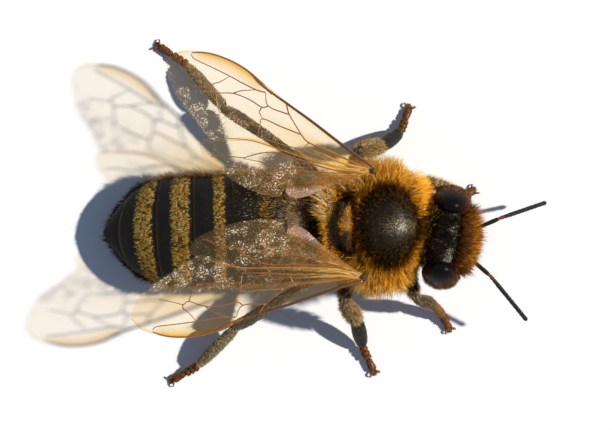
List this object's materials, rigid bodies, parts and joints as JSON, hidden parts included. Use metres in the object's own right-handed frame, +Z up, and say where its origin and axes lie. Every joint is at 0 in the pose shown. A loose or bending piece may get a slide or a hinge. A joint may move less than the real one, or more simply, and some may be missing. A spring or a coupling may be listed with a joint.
{
  "type": "honey bee",
  "caption": "Life-size worker honey bee standing with wings half spread, furry thorax, banded abdomen and elbowed feelers, as a still display model.",
  "frame": {"origin": "on the floor under the middle of the bee's box", "axes": "+X forward, the way the bee faces, +Y to its left, +Z up"},
  "size_m": [0.0166, 0.013, 0.0047],
  "materials": {
    "coat": "dense golden fur, dark on the back",
    "shell": "glossy near-black plates with golden bands of short hair",
    "eye": "finely faceted, soft gloss",
    "wing_membrane": "clear with an amber tint and brown veins",
    "antenna": "satin, greenish black",
    "jaw": "satin dark brown",
    "leg": "glossy dark brown with fine pale hair",
    "foot": "satin red-brown"
  },
  "bodies": {
    "root": {"abdomen_1": "shell", "abdomen_2": "shell", "abdomen_3": "shell", "abdomen_4": "shell", "abdomen_5": "shell", "abdomen_6": "shell", "antenna_left_flagellum": "antenna", "antenna_left_scape": "antenna", "antenna_right_flagellum": "antenna", "antenna_right_scape": "antenna", "eye_left": "eye", "eye_right": "eye", "forewing_left": "wing_membrane", "forewing_right": "wing_membrane", "head": "coat", "hindwing_left": "wing_membrane", "hindwing_right": "wing_membrane", "leg_fore_left_basitarsus": "foot", "leg_fore_left_femur": "leg", "leg_fore_left_tarsus": "foot", "leg_fore_left_tibia": "leg", "leg_fore_right_basitarsus": "foot", "leg_fore_right_femur": "leg", "leg_fore_right_tarsus": "foot", "leg_fore_right_tibia": "leg", "leg_hind_left_basitarsus": "foot", "leg_hind_left_femur": "leg", "leg_hind_left_tarsus": "foot", "leg_hind_left_tibia": "leg", "leg_hind_right_basitarsus": "foot", "leg_hind_right_femur": "leg", "leg_hind_right_tarsus": "foot", "leg_hind_right_tibia": "leg", "leg_mid_left_basitarsus": "foot", "leg_mid_left_femur": "leg", "leg_mid_left_tarsus": "foot", "leg_mid_left_tibia": "leg", "leg_mid_right_basitarsus": "foot", "leg_mid_right_femur": "leg", "leg_mid_right_tarsus": "foot", "leg_mid_right_tibia": "leg", "mouthparts": "jaw", "thorax": "coat"}
  },
  "joints": []
}
